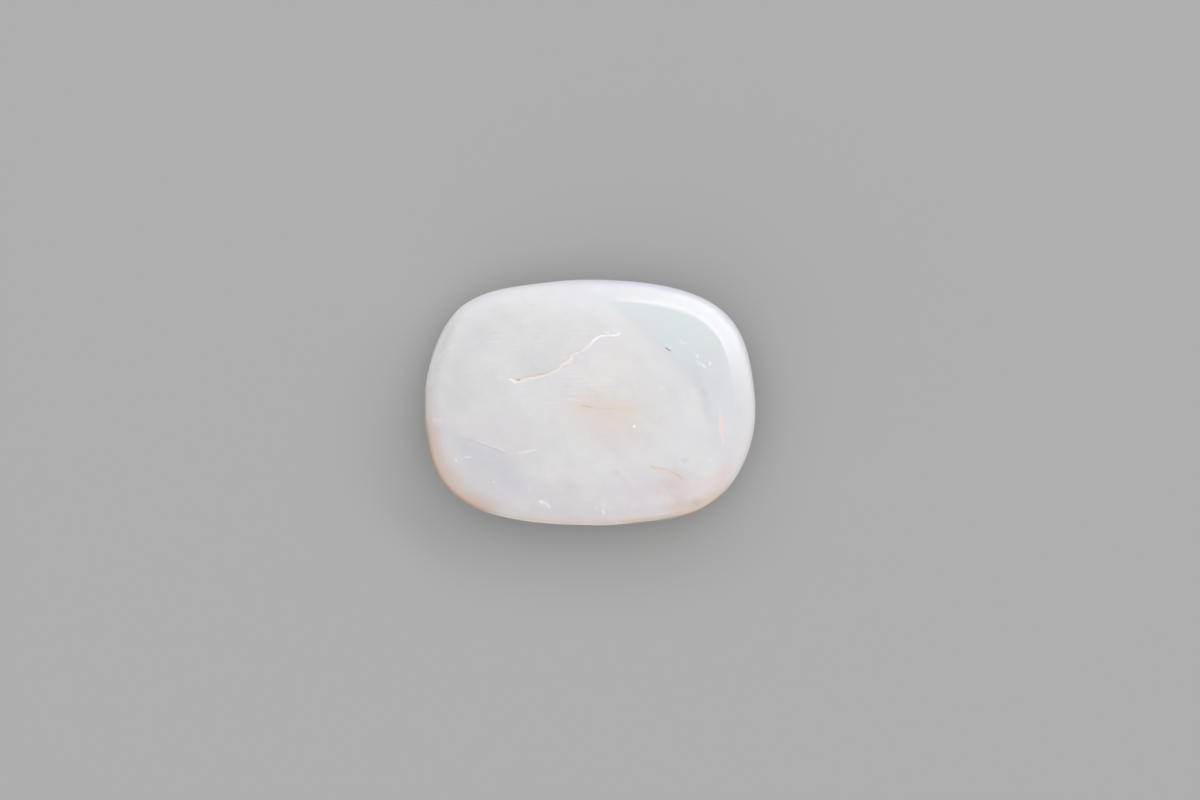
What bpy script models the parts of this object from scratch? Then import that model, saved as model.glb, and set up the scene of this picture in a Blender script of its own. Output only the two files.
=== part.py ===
"""A polished white opal: one cushion-shaped stone with a low domed face in a worn bevelled border.

Run it with: blender --background --python part.py
Metres, +Z up. The stone lies on its flat back with its face up, its length along X.
The origin is at the bottom, under the middle of the stone.
"""

import math

import bmesh
import bpy
import numpy as np
from mathutils import Vector

MM = 0.001

# Driving dimensions, in millimetres.
LENGTH = 20.0
WIDTH = 14.86
THICKNESS = 4.2
GIRDLE_HEIGHT = 2.85  # where the stone is widest, above the back
SIDE_WIDTH = 1.5  # half-width of the ellipse that rounds the side under the girdle
BORDER_WIDTH = 1.4  # of the bevelled border round the face, seen from above
BEVEL_TILT = math.radians(20)
EDGE_ROUND = 0.35  # radius from the side over to the bevel
RIDGE_ROUND = 0.3  # radius from the bevel over to the face
CRISP_FACING = math.radians(44)  # the bevel is crisp on this side of the stone,
CRISP_SPREAD = math.radians(35)  # stays crisp this far round to both sides of it
WORN_SPREAD = math.radians(95)  # and is worn quite round from here on

# Reach of the girdle from the middle, anticlockwise from +X in equal steps: the stone's own cushion shape.
GIRDLE_REACH = [
    10.00, 10.00, 9.92, 9.16, 8.22, 7.63, 7.43, 7.60, 8.17, 9.22, 9.95, 10.04,
    10.02, 10.18, 10.12, 9.28, 8.24, 7.63, 7.43, 7.63, 8.23, 9.29, 9.88, 10.06,
]  # fmt: skip

# A small flat is ground on the border at the left. It faces out at FLAT_FACING, and up by FLAT_TILT.
FLAT_FACING = math.radians(156)
FLAT_TILT = math.radians(30)
FLAT_DISTANCE = 9.76  # from the stone's middle, at the height of the girdle

# An open fissure wanders over the left of the face and narrows to both ends.
# Each point holds x, y and the share of the fissure's full size there.
FISSURE = [
    (-5.48, 1.63, 0.3), (-5.18, 1.40, 0.8), (-4.81, 1.41, 1.0), (-4.31, 1.27, 1.0), (-3.56, 1.45, 1.0),
    (-2.66, 1.64, 1.0), (-1.93, 1.99, 1.0), (-1.44, 2.39, 1.0), (-0.84, 2.97, 1.0), (-0.14, 3.35, 0.9),
    (0.56, 3.96, 0.8), (1.79, 4.10, 0.3),
]  # fmt: skip
FISSURE_RADIUS = 0.10
FISSURE_DEPTH = 0.07

# A small pit is open on the fissure near its left end.
PIT = (-4.29, 1.35)
PIT_RADIUS = 0.12
PIT_DEPTH = 0.09

# Fineness of the faceted solid.
SEGMENTS = 120
SIDE_RINGS = 6
EDGE_RINGS = 5
BEVEL_RINGS = 4
RIDGE_RINGS = 3
FACE_RINGS = 8
FISSURE_STEPS = 3

OPAL = {"colour": (0.72, 0.72, 0.74, 1), "roughness": 0.12, "metallic": 0.0}


def girdle_reach(angle):
    """Smooth reach of the girdle at any angle, a sum of waves that follows GIRDLE_REACH."""
    count = len(GIRDLE_REACH)
    waves = np.fft.rfft(GIRDLE_REACH) / count
    return waves[0].real + 2 * sum(
        waves[k].real * math.cos(k * angle) - waves[k].imag * math.sin(k * angle)
        for k in range(1, count // 2)
    )


def girdle_curve():
    """Points round the girdle as complex numbers. Their box is LENGTH by WIDTH, centred on 0."""
    angles = [2 * math.pi * i / SEGMENTS for i in range(SEGMENTS)]
    curve = np.array([girdle_reach(a) * complex(math.cos(a), math.sin(a)) for a in angles])
    lowest = complex(curve.real.min(), curve.imag.min())
    highest = complex(curve.real.max(), curve.imag.max())
    curve = curve - (lowest + highest) / 2
    across, up = highest.real - lowest.real, highest.imag - lowest.imag
    return curve.real * LENGTH / across + 1j * curve.imag * WIDTH / up


def inward(curve):
    """The unit direction into the stone, square to the girdle, at each of its points."""
    along = np.roll(curve, -1) - np.roll(curve, 1)
    return 1j * along / abs(along)


def girdle_share(points, curve):
    """How far each point is from the middle, as a share of the girdle's reach in its direction."""
    angles = np.angle(curve)
    order = np.argsort(angles)
    reach = np.interp(
        np.angle(points), angles[order], abs(curve)[order], period=2 * math.pi
    )
    return abs(points) / reach


def border_profile():
    """Inset and rise of each ring of a crisp border: over the edge, up the bevel and over the ridge."""
    profile = []
    for i in range(EDGE_RINGS + 1):
        tilt = math.pi / 2 + (BEVEL_TILT - math.pi / 2) * i / EDGE_RINGS
        profile.append((EDGE_ROUND * (1 - math.sin(tilt)), EDGE_ROUND * math.cos(tilt)))
    bevel_start, edge_rise = profile[-1]
    bevel_end = BORDER_WIDTH - RIDGE_ROUND * math.sin(BEVEL_TILT)
    for i in range(1, BEVEL_RINGS):
        run = (bevel_end - bevel_start) * i / BEVEL_RINGS
        profile.append((bevel_start + run, edge_rise + run * math.tan(BEVEL_TILT)))
    bevel_rise = edge_rise + (bevel_end - bevel_start) * math.tan(BEVEL_TILT)
    for i in range(RIDGE_RINGS + 1):
        tilt = BEVEL_TILT * (1 - i / RIDGE_RINGS)
        over_ridge = RIDGE_ROUND * (math.cos(tilt) - math.cos(BEVEL_TILT))
        profile.append((BORDER_WIDTH - RIDGE_ROUND * math.sin(tilt), bevel_rise + over_ridge))
    return profile


BORDER_RISE = border_profile()[-1][1]
DOME_RISE = THICKNESS - GIRDLE_HEIGHT - BORDER_RISE


def dome(points, curve):
    """Height that the dome adds at each point: nothing at the girdle, DOME_RISE in the middle."""
    return DOME_RISE * (1 - girdle_share(points, curve) ** 2)


def side_rings(curve):
    """Rings from the back up to just under the girdle: a 45 degree bevel that runs into a rounded side."""
    steepness = math.atan2(GIRDLE_HEIGHT, SIDE_WIDTH)
    bevel_inset = SIDE_WIDTH * (1 - math.cos(steepness))
    bevel_height = GIRDLE_HEIGHT * (1 - math.sin(steepness))
    rings = [(curve + (bevel_inset + bevel_height) * inward(curve), 0.0)]
    for i in range(SIDE_RINGS):
        turn = steepness * (1 - i / SIDE_RINGS)
        inset = SIDE_WIDTH * (1 - math.cos(turn))
        rings.append((curve + inset * inward(curve), GIRDLE_HEIGHT * (1 - math.sin(turn))))
    return rings


def border_rings(curve):
    """Rings from the girdle over the border to the edge of the face, from crisp bevel to worn round."""
    turned = np.arccos(np.cos(np.angle(-inward(curve)) - CRISP_FACING))
    worn = np.clip((turned - CRISP_SPREAD) / (WORN_SPREAD - CRISP_SPREAD), 0, 1)
    worn = worn**2 * (3 - 2 * worn)
    rings = []
    for inset, crisp_rise in border_profile():
        round_rise = BORDER_RISE * math.sqrt(1 - (1 - inset / BORDER_WIDTH) ** 2)
        rise = crisp_rise + worn * (round_rise - crisp_rise)
        points = curve + inset * inward(curve)
        rings.append((points, GIRDLE_HEIGHT + rise + dome(points, curve)))
    return rings


def face_rings(curve):
    """Rings that shrink over the low dome from the edge of the face towards its middle."""
    edge = curve + BORDER_WIDTH * inward(curve)
    rings = []
    for i in range(1, FACE_RINGS):
        points = edge * (1 - i / FACE_RINGS)
        rings.append((points, GIRDLE_HEIGHT + BORDER_RISE + dome(points, curve)))
    return rings


def cushion_mesh():
    """The cushion as a closed mesh of rings, with a flat back and a point in the middle of the face."""
    curve = girdle_curve()
    mesh = bmesh.new()
    loops = []
    for points, heights in side_rings(curve) + border_rings(curve) + face_rings(curve):
        heights = np.broadcast_to(heights, points.shape)
        loops.append(
            [mesh.verts.new((p.real * MM, p.imag * MM, z * MM)) for p, z in zip(points, heights)]
        )
    for lower, upper in zip(loops, loops[1:]):
        for i in range(SEGMENTS):
            j = (i + 1) % SEGMENTS
            mesh.faces.new((lower[i], lower[j], upper[j], upper[i]))
    mesh.faces.new(list(reversed(loops[0])))
    middle = mesh.verts.new((0, 0, THICKNESS * MM))
    for i in range(SEGMENTS):
        mesh.faces.new((loops[-1][i], loops[-1][(i + 1) % SEGMENTS], middle))
    return mesh


def grind_flat(mesh):
    """Cuts the small flat off the border's left and closes the cut with one face."""
    facing = Vector(
        (
            math.cos(FLAT_FACING) * math.cos(FLAT_TILT),
            math.sin(FLAT_FACING) * math.cos(FLAT_TILT),
            math.sin(FLAT_TILT),
        )
    )
    point = Vector(
        (
            math.cos(FLAT_FACING) * FLAT_DISTANCE,
            math.sin(FLAT_FACING) * FLAT_DISTANCE,
            GIRDLE_HEIGHT,
        )
    )
    geometry = mesh.verts[:] + mesh.edges[:] + mesh.faces[:]
    cut = bmesh.ops.bisect_plane(
        mesh, geom=geometry, plane_co=point * MM, plane_no=facing, clear_outer=True
    )
    rim = [e for e in cut["geom_cut"] if isinstance(e, bmesh.types.BMEdge)]
    bmesh.ops.holes_fill(mesh, edges=rim)


def face_height(x, y, curve):
    """Height of the face over a place on it, inside the border."""
    return GIRDLE_HEIGHT + BORDER_RISE + float(dome(np.array([complex(x, y)]), curve)[0])


def fissure_cutter(curve):
    """A thin tube along the fissure, sunk in the face so that it leaves a shallow groove."""
    path = bpy.data.curves.new("fissure_cutter", "CURVE")
    path.dimensions = "3D"
    path.bevel_depth = FISSURE_RADIUS * MM
    path.bevel_resolution = 1
    path.use_fill_caps = True
    path.resolution_u = FISSURE_STEPS
    spline = path.splines.new("BEZIER")
    spline.bezier_points.add(len(FISSURE) - 1)
    for knot, (x, y, share) in zip(spline.bezier_points, FISSURE):
        height = face_height(x, y, curve) + (FISSURE_RADIUS - FISSURE_DEPTH) * share
        knot.co = Vector((x, y, height)) * MM
        knot.radius = share
        knot.handle_left_type = knot.handle_right_type = "AUTO"
    guide = bpy.data.objects.new("fissure_guide", path)
    bpy.context.scene.collection.objects.link(guide)
    bpy.context.view_layer.update()
    tube = bpy.data.meshes.new_from_object(
        guide.evaluated_get(bpy.context.evaluated_depsgraph_get())
    )
    bpy.data.objects.remove(guide)
    mesh = bmesh.new()
    mesh.from_mesh(tube)
    bmesh.ops.remove_doubles(mesh, verts=mesh.verts[:], dist=1e-7)
    bmesh.ops.recalc_face_normals(mesh, faces=mesh.faces[:])
    return cutter_object("fissure_cutter", mesh)


def pit_cutter(curve):
    """A small ball that bites the pit at the fissure's left end."""
    height = face_height(*PIT, curve) + PIT_RADIUS - PIT_DEPTH
    mesh = bmesh.new()
    bmesh.ops.create_icosphere(mesh, subdivisions=2, radius=PIT_RADIUS * MM)
    bmesh.ops.translate(mesh, verts=mesh.verts[:], vec=Vector((*PIT, height)) * MM)
    return cutter_object("pit_cutter", mesh)


def cutter_object(name, mesh):
    """A helper that the Boolean reads and that is left out of the model."""
    cutter = link_object(name, mesh)
    cutter.hide_render = True
    cutter.display_type = "WIRE"
    return cutter


def link_object(name, mesh):
    """A scene object that holds this mesh."""
    data = bpy.data.meshes.new(name)
    mesh.to_mesh(data)
    mesh.free()
    made = bpy.data.objects.new(name, data)
    bpy.context.scene.collection.objects.link(made)
    return made


def opal_material():
    """Milky white opal with a soft polish."""
    material = bpy.data.materials.new("opal")
    material.use_nodes = True
    surface = material.node_tree.nodes["Principled BSDF"]
    surface.inputs["Base Color"].default_value = OPAL["colour"]
    surface.inputs["Roughness"].default_value = OPAL["roughness"]
    surface.inputs["Metallic"].default_value = OPAL["metallic"]
    return material


def make_opal():
    """The stone: the cushion, its ground flat, and the fissure and pit cut into its face."""
    mesh = cushion_mesh()
    grind_flat(mesh)
    bmesh.ops.recalc_face_normals(mesh, faces=mesh.faces[:])
    opal = link_object("opal", mesh)
    opal.data.materials.append(opal_material())
    curve = girdle_curve()
    for cutter in (fissure_cutter(curve), pit_cutter(curve)):
        cut = opal.modifiers.new(cutter.name, "BOOLEAN")
        cut.operation = "DIFFERENCE"
        cut.object = cutter
    opal.data.shade_smooth()
    opal.data.set_sharp_from_angle(angle=math.radians(25))
    return opal


for leftover in list(bpy.data.objects):
    bpy.data.objects.remove(leftover)
make_opal()
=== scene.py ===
"""A polished white opal, laid on its flat back on a plain floor and seen from above."""

import math

import bmesh
import bpy
import numpy as np
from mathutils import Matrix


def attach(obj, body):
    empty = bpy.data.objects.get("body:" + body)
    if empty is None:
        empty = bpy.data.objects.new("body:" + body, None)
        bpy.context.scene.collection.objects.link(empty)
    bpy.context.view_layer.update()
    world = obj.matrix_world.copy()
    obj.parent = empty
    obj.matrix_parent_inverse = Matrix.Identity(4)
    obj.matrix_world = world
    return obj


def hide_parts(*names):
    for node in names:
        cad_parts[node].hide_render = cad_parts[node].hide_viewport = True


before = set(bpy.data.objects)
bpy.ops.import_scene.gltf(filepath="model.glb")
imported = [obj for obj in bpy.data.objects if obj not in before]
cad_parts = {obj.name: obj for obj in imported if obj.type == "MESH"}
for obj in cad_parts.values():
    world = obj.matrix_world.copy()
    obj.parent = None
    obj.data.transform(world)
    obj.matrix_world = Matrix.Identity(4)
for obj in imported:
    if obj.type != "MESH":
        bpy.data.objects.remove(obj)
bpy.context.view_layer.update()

# The stone: one cushion-shaped white opal, cut from milky common opal with a trace of fire in it.
# It was sawn, ground by hand on a wheel and polished: a low domed face, a bevelled border, a flat back
# and a small flat where the wheel took a little more off the left shoulder.

MM = 0.001

LENGTH = 20.0
WIDTH = 14.86
THICKNESS = 4.2
GIRDLE_HEIGHT = 2.85
SIDE_WIDTH = 1.5
BORDER_WIDTH = 1.4
BEVEL_TILT = math.radians(20)
EDGE_ROUND = 0.35
RIDGE_ROUND = 0.3
CRISP_FACING = math.radians(44)  # the bevel is crisp on this side of the stone,
CRISP_SPREAD = math.radians(35)  # stays crisp this far round to both sides of it,
WORN_SPREAD = math.radians(95)  # and is worn quite round from here on

# Reach of the girdle from the middle, anticlockwise from +X in equal steps.
GIRDLE_REACH = [
    10.00, 10.00, 9.92, 9.16, 8.22, 7.63, 7.43, 7.60, 8.17, 9.22, 9.95, 10.04,
    10.02, 10.18, 10.12, 9.28, 8.24, 7.63, 7.43, 7.63, 8.23, 9.29, 9.88, 10.06,
]  # fmt: skip

FLAT_FACING = math.radians(156)
FLAT_TILT = math.radians(30)
FLAT_DISTANCE = 9.76
FLAT_EDGE_ROUND = 0.3

SEGMENTS = 300
SIDE_RINGS = 16
EDGE_RINGS = 12
BEVEL_RINGS = 8
RIDGE_RINGS = 8
FACE_RINGS = 44
BACK_RINGS = 24


def girdle_reach(angles):
    """Smooth reach of the girdle at these angles."""
    count = len(GIRDLE_REACH)
    waves = np.fft.rfft(GIRDLE_REACH) / count
    turns = np.exp(1j * np.outer(np.arange(1, count // 2), angles))
    return waves[0].real + 2 * (waves[1 : count // 2, None] * turns).real.sum(axis=0)


def girdle_curve():
    """Points round the girdle as complex numbers, fitted to LENGTH by WIDTH round the origin."""
    angles = np.linspace(0, 2 * math.pi, SEGMENTS, endpoint=False)
    curve = girdle_reach(angles) * np.exp(1j * angles)
    low = complex(curve.real.min(), curve.imag.min())
    high = complex(curve.real.max(), curve.imag.max())
    curve = curve - (low + high) / 2
    return curve.real * LENGTH / (high - low).real + 1j * curve.imag * WIDTH / (high - low).imag


girdle = girdle_curve()
along_girdle = np.roll(girdle, -1) - np.roll(girdle, 1)
inward = 1j * along_girdle / abs(along_girdle)


def border_profile():
    """Inset and rise of each ring of a crisp border: over the edge, up the bevel and over the ridge."""
    profile = []
    for i in range(EDGE_RINGS):
        tilt = math.pi / 2 + (BEVEL_TILT - math.pi / 2) * i / EDGE_RINGS
        profile.append((EDGE_ROUND * (1 - math.sin(tilt)), EDGE_ROUND * math.cos(tilt)))
    bevel_start = EDGE_ROUND * (1 - math.sin(BEVEL_TILT))
    bevel_end = BORDER_WIDTH - RIDGE_ROUND * math.sin(BEVEL_TILT)
    for i in range(BEVEL_RINGS):
        run = (bevel_end - bevel_start) * i / BEVEL_RINGS
        rise = EDGE_ROUND * math.cos(BEVEL_TILT) + run * math.tan(BEVEL_TILT)
        profile.append((bevel_start + run, rise))
    bevel_rise = EDGE_ROUND * math.cos(BEVEL_TILT) + (bevel_end - bevel_start) * math.tan(BEVEL_TILT)
    for i in range(RIDGE_RINGS + 1):
        tilt = BEVEL_TILT * (1 - i / RIDGE_RINGS)
        over_ridge = RIDGE_ROUND * (math.cos(tilt) - math.cos(BEVEL_TILT))
        profile.append((BORDER_WIDTH - RIDGE_ROUND * math.sin(tilt), bevel_rise + over_ridge))
    return profile


BORDER_RISE = border_profile()[-1][1]
DOME_RISE = THICKNESS - GIRDLE_HEIGHT - BORDER_RISE
RELIEF_HEIGHT = GIRDLE_HEIGHT + BORDER_RISE / 2  # cracks and chips are sunk above this height
turned = np.arccos(np.cos(np.angle(-inward) - CRISP_FACING))
worn = np.clip((turned - CRISP_SPREAD) / (WORN_SPREAD - CRISP_SPREAD), 0, 1)
worn = worn**2 * (3 - 2 * worn)


def reach_of_girdle(points):
    """How far the girdle is from the middle, in the direction of each place."""
    order = np.argsort(np.angle(girdle))
    return np.interp(
        np.angle(points), np.angle(girdle)[order], abs(girdle)[order], period=2 * math.pi
    )


def dome(points):
    """Height that the low dome adds over these places: nothing at the girdle, all of it in the middle."""
    return DOME_RISE * (1 - (abs(points) / reach_of_girdle(points)) ** 2)


def face_height(points):
    """Height of the face over these places, inside the border."""
    return GIRDLE_HEIGHT + BORDER_RISE + dome(points)


def stone_rings():
    """Every ring of the stone, from the middle of the back round the side to the middle of the face."""
    steepness = math.atan2(GIRDLE_HEIGHT, SIDE_WIDTH)
    bevel_inset = SIDE_WIDTH * (1 - math.cos(steepness))
    bevel_height = GIRDLE_HEIGHT * (1 - math.sin(steepness))
    back_edge = girdle + (bevel_inset + bevel_height) * inward
    rings = [(back_edge * i / BACK_RINGS, np.zeros(SEGMENTS)) for i in range(1, BACK_RINGS + 1)]
    for i in range(SIDE_RINGS):
        turn = steepness * (1 - i / SIDE_RINGS)
        points = girdle + SIDE_WIDTH * (1 - math.cos(turn)) * inward
        rings.append((points, np.full(SEGMENTS, GIRDLE_HEIGHT * (1 - math.sin(turn)))))
    for inset, crisp_rise in border_profile():
        round_rise = BORDER_RISE * math.sqrt(1 - (1 - inset / BORDER_WIDTH) ** 2)
        rise = crisp_rise + worn * (round_rise - crisp_rise)
        points = girdle + inset * inward
        rings.append((points, GIRDLE_HEIGHT + rise + dome(points)))
    face_edge = girdle + BORDER_WIDTH * inward
    for i in range(1, FACE_RINGS):
        points = face_edge * (1 - i / FACE_RINGS)
        rings.append((points, face_height(points)))
    return rings


def closed_stone():
    """The plain stone as a closed bmesh, in millimetres."""
    mesh = bmesh.new()
    loops = [
        [mesh.verts.new((p.real, p.imag, z)) for p, z in zip(points, heights)]
        for points, heights in stone_rings()
    ]
    for lower, upper in zip(loops, loops[1:]):
        for i in range(SEGMENTS):
            j = (i + 1) % SEGMENTS
            mesh.faces.new((lower[i], lower[j], upper[j], upper[i]))
    back_middle = mesh.verts.new((0, 0, 0))
    face_middle = mesh.verts.new((0, 0, face_height(np.array([0j]))[0]))
    for i in range(SEGMENTS):
        j = (i + 1) % SEGMENTS
        mesh.faces.new((loops[0][j], loops[0][i], back_middle))
        mesh.faces.new((loops[-1][i], loops[-1][j], face_middle))
    return mesh


# Cracks, streaks and bands, each as a path over the face with its half-width in millimetres at every point.
CRACKS = {
    # An open fissure with cream and orange walls, and a pit near its left end.
    "fissure": [
        (-5.48, 1.63, 0.05), (-5.18, 1.40, 0.06), (-4.81, 1.41, 0.08), (-4.55, 1.30, 0.12),
        (-4.31, 1.25, 0.11), (-3.98, 1.34, 0.11), (-3.56, 1.45, 0.10), (-3.13, 1.52, 0.08),
        (-2.66, 1.64, 0.06), (-2.12, 1.89, 0.06), (-1.92, 1.99, 0.06), (-1.68, 2.24, 0.07),
        (-1.44, 2.39, 0.09), (-1.17, 2.50, 0.11), (-1.08, 2.75, 0.08), (-0.84, 2.97, 0.06),
        (-0.45, 3.11, 0.07), (-0.14, 3.35, 0.10), (0.13, 3.60, 0.10), (0.56, 3.96, 0.07),
        (0.92, 4.03, 0.05), (1.50, 4.04, 0.05), (1.79, 4.12, 0.08),
    ],
    # An iron stain in a healed crack under the middle of the face.
    "amber_streak": [
        (-1.05, -0.20, 0.06), (-0.72, -0.18, 0.07), (-0.35, -0.21, 0.08), (-0.11, -0.24, 0.08),
        (0.13, -0.29, 0.06), (0.61, -0.35, 0.05), (1.10, -0.36, 0.05), (1.62, -0.38, 0.10),
        (2.00, -0.43, 0.13), (2.43, -0.45, 0.12), (2.85, -0.47, 0.06),
    ],
    # A hairline above the violet band.
    "hairline": [
        (-7.68, -2.12, 0.05), (-7.24, -2.18, 0.05), (-6.82, -2.32, 0.06), (-6.34, -2.47, 0.06),
        (-5.91, -2.63, 0.06), (-5.49, -2.80, 0.06), (-5.19, -2.92, 0.06), (-4.74, -3.01, 0.05),
        (-4.25, -3.06, 0.07), (-3.80, -2.98, 0.08), (-3.38, -2.87, 0.06), (-2.77, -2.80, 0.04),
    ],
    # A short stained crack low on the right.
    "stained_crack": [
        (3.48, -3.80, 0.06), (3.76, -3.86, 0.11), (4.08, -3.92, 0.07), (4.54, -4.03, 0.05),
        (4.95, -4.20, 0.05), (5.27, -4.36, 0.09), (5.50, -4.58, 0.12), (5.50, -4.84, 0.07),
    ],
    # A needle of pink fire.
    "fire_needle": [
        (7.81, -0.09, 0.05), (7.85, -0.39, 0.08), (7.88, -0.94, 0.11), (7.90, -1.48, 0.13),
        (7.92, -1.78, 0.11), (7.99, -2.15, 0.06), (8.04, -2.57, 0.04),
    ],
    # The soft violet band that crosses the lower left.
    "violet_band": [
        (-9.24, -1.24, 0.4), (-8.15, -2.15, 0.6), (-6.94, -2.99, 0.7), (-5.79, -3.84, 0.8),
        (-4.52, -4.81, 0.9), (-3.32, -5.41, 0.9), (-2.29, -5.53, 0.8),
    ],
    # The inner edge of the bluish crescent at the upper right.
    "crescent_edge": [
        (0.92, 6.20, 0.4), (1.94, 5.47, 0.4), (3.03, 4.62, 0.4), (4.04, 3.68, 0.4), (4.91, 2.87, 0.4),
        (5.69, 2.15, 0.4), (6.29, 1.48, 0.4), (6.66, 0.76, 0.4), (6.92, -0.02, 0.4), (7.13, -1.02, 0.4),
        (7.38, -2.03, 0.4), (7.69, -2.99, 0.4),
    ],
}  # fmt: skip
SOFT_BANDS = ("violet_band", "crescent_edge")  # colour alone, so the mesh isn't split finer for them

PATH_STEPS = 8
LEAD = 1.0  # how far a path is carried straight past its ends, so that its sides stay told apart there


def smooth_path(knots):
    """A smooth run of points through the knots, Catmull-Rom, carried straight on past both ends."""
    knots = np.array(knots)
    first = knots[0] + (knots[0] - knots[1]) * LEAD / np.hypot(*(knots[0] - knots[1])[:2])
    last = knots[-1] + (knots[-1] - knots[-2]) * LEAD / np.hypot(*(knots[-1] - knots[-2])[:2])
    first[2], last[2] = knots[0, 2], knots[-1, 2]
    ring = np.array([first, *knots, last])
    run = [first]
    for a, b, c, d in zip(ring, ring[1:], ring[2:], ring[3:]):
        for i in range(PATH_STEPS):
            t = i / PATH_STEPS
            run.append(
                0.5 * (2 * b + (c - a) * t + (2 * a - 5 * b + 4 * c - d) * t**2
                       + (3 * b - a - 3 * c + d) * t**3)
            )  # fmt: skip
    return np.array([*run, knots[-1], last])


def crack_place(x, y, knots):
    """For places on the face: how far along the path (0 to 1), how far to its left, and its half-width."""
    run = smooth_path(knots)
    nearest = np.full(len(x), np.inf)
    place = np.zeros((len(x), 3))
    count = len(run) - 3
    for i, (start, end) in enumerate(zip(run, run[1:])):
        way = end - start
        length = np.hypot(*way[:2])
        share = ((x - start[0]) * way[0] + (y - start[1]) * way[1]) / length**2
        share = np.clip(share, 0, 1)
        off_x = x - start[0] - share * way[0]
        off_y = y - start[1] - share * way[1]
        gap = np.hypot(off_x, off_y)
        closer = gap < nearest
        left = np.where(way[0] * off_y - way[1] * off_x < 0, -gap, gap)
        if i == 0:
            along = (share - 1) * LEAD
        elif i == len(run) - 2:
            along = 1 + share * LEAD
        else:
            along = (i - 1 + share) / count
        new = np.stack([along, left, start[2] + share * way[2]], axis=1)
        place[closer] = new[closer]
        nearest = np.where(closer, gap, nearest)
    return place


# Small chips, specks and scratches on the face, and a few painted highlight lines, each from one point to
# another: x, y, x, y, radius and depth in millimetres, and how white it is.
CHIPS_AND_PAINTED_HIGHLIGHTS = [
    # White lips of the fissure by the pit, at its knot and at its right end.
    (-4.75, 1.39, -4.50, 1.22, 0.10, 0.02, 0.6), (0.16, 3.69, 0.25, 3.78, 0.09, 0.02, 0.6),
    (0.94, 4.18, 1.16, 4.21, 0.07, 0.02, 0.55), (0.80, 4.33, 1.04, 4.38, 0.05, 0.01, 0.24),
    (1.77, 4.12, 1.80, 4.13, 0.09, 0.02, 0.6),
    # Small bruises under the fissure.
    (-4.24, 0.78, -4.02, 0.79, 0.06, 0.01, 0.22), (-2.73, 1.14, -2.70, 1.13, 0.05, 0.01, 0.2),
    (-2.26, 1.30, -2.22, 1.29, 0.06, 0.01, 0.2), (-1.86, 1.70, -1.80, 1.72, 0.07, 0.01, 0.22),
    (-1.50, 1.98, -1.46, 1.96, 0.06, 0.01, 0.2), (0.92, 3.62, 0.98, 3.56, 0.06, 0.01, 0.16),
    # An arc, a light edge beside the dark scratch and a zigzag of bruises in the crescent.
    (5.45, 3.76, 5.51, 3.62, 0.07, 0.01, 0.32), (5.51, 3.62, 5.66, 3.57, 0.08, 0.01, 0.45),
    (5.66, 3.57, 5.87, 3.61, 0.06, 0.01, 0.4), (4.57, 3.46, 4.72, 3.48, 0.05, 0.01, 0.24),
    (4.72, 3.48, 4.94, 3.33, 0.06, 0.01, 0.32), (6.32, 3.07, 6.50, 2.75, 0.06, 0.01, 0.36),
    (6.47, 2.82, 6.50, 2.75, 0.09, 0.02, 0.6), (6.42, 2.50, 6.90, 2.19, 0.07, 0.01, 0.45),
    (6.83, 2.25, 6.89, 2.15, 0.09, 0.02, 0.68), (6.54, 2.33, 6.66, 2.21, 0.05, 0.01, 0.32),
    (7.22, 2.39, 7.24, 2.28, 0.09, 0.02, 0.68),
    # Specks in the middle.
    (2.68, -1.44, 2.68, -1.44, 0.13, 0.03, 0.68), (-3.64, -0.71, -3.62, -0.71, 0.08, 0.01, 0.4),
    (4.30, 0.86, 4.30, 0.86, 0.08, 0.01, 0.32), (3.92, 0.33, 3.92, 0.33, 0.07, 0.01, 0.24),
    # Specks and an arc at the lower left.
    (-8.05, -3.48, -8.05, -3.48, 0.09, 0.02, 0.52), (-7.51, -3.29, -7.18, -3.28, 0.07, 0.01, 0.4),
    (-5.76, -4.76, -5.76, -4.76, 0.09, 0.02, 0.45), (-6.10, -4.80, -6.06, -4.80, 0.06, 0.01, 0.24),
    # Two clusters of flaws near the bottom.
    (-2.96, -5.94, -2.82, -6.00, 0.14, 0.03, 0.42), (-2.56, -6.17, -2.46, -6.29, 0.11, 0.02, 0.38),
    (-2.68, -6.05, -2.59, -6.10, 0.07, 0.01, 0.4), (0.80, -6.51, 0.82, -6.64, 0.10, 0.02, 0.45),
    (0.76, -6.02, 0.86, -6.20, 0.07, 0.01, 0.24), (0.40, -6.20, 0.34, -6.44, 0.06, 0.01, 0.2),
    (1.64, -7.23, 1.64, -7.23, 0.08, 0.01, 0.68),
    # Painted highlights: bright lines along the lower right border's ridge and on the edge of the left
    # shoulder's flat.
    (4.03, -6.75, 4.70, -6.66, 0.06, 0.0, 0.3), (4.70, -6.66, 5.95, -6.36, 0.05, 0.0, 0.14),
    (-9.39, 2.45, -9.00, 2.99, 0.06, 0.0, 0.28), (-9.00, 2.99, -8.15, 3.44, 0.05, 0.0, 0.28),
]  # fmt: skip
PIT = (-4.33, 1.35, -4.25, 1.36, 0.09, 0.09)
DARK_SCRATCH = (4.58, 3.26, 4.80, 3.12, 0.06, 0.04)

FINE_REACH = 0.3  # the mesh is split finer within this distance of a crack or chip,
PAST_ENDS = 0.05  # and this share of a crack's length past both its ends
FINE_PASSES = 2
ON_DOME = 0.004  # a new point this near the dome is put back on it

RELIEF_CRACKS = {"fissure": 0.06, "hairline": 0.006, "stained_crack": 0.01}
END_DEPTH = 0.4  # a crack is this share of its depth at its very ends,
END_RISE = 12  # and reaches all of it over a few hundredths of its length
CHIP_RISE = 1.6  # how steeply a chip deepens from its edge
WHITE_RISE = 2  # how steeply it whitens


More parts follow.
